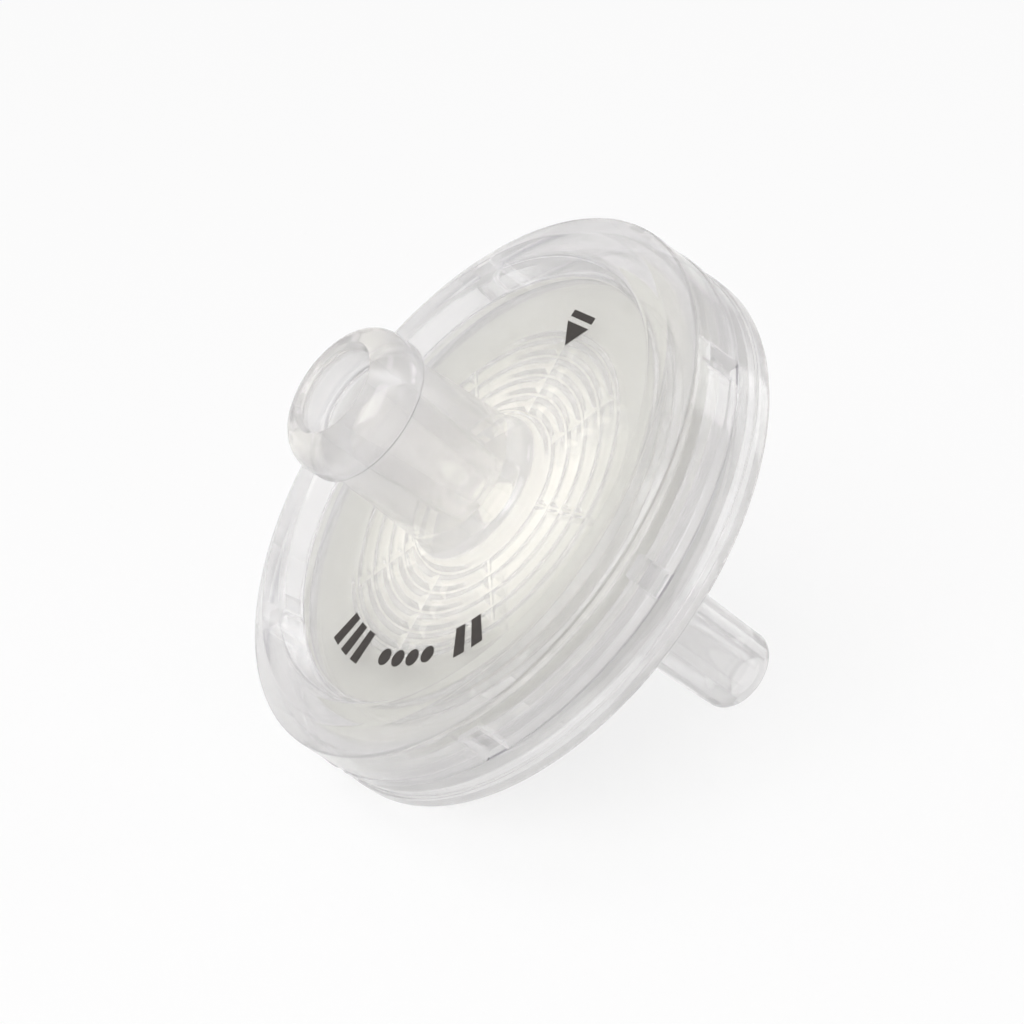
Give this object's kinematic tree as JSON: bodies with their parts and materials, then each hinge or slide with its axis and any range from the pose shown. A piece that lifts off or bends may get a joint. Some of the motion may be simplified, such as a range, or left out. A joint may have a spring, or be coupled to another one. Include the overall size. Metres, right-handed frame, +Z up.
{
  "type": "syringe filter",
  "caption": "Clear disposable syringe filter: a white membrane disc in a round welded housing, with a female luer inlet and a male luer outlet.",
  "frame": {"origin": "on the table, under the middle of the filter's box", "axes": "+Z up from the table the filter lies on. The flow axis lies in the XZ plane: the inlet leans toward -X and up, the outlet tip points to +X and down. The filter rests on its flange edge and its outlet tip. Y runs along the housing's width."},
  "size_m": [0.0242, 0.028, 0.0239],
  "materials": {
    "clear_plastic": "clear, smooth moulded",
    "membrane": "matte, microporous"
  },
  "bodies": {
    "root": {"inlet_housing": "clear_plastic", "outlet_housing": "clear_plastic", "filter_membrane": "membrane"}
  },
  "joints": []
}
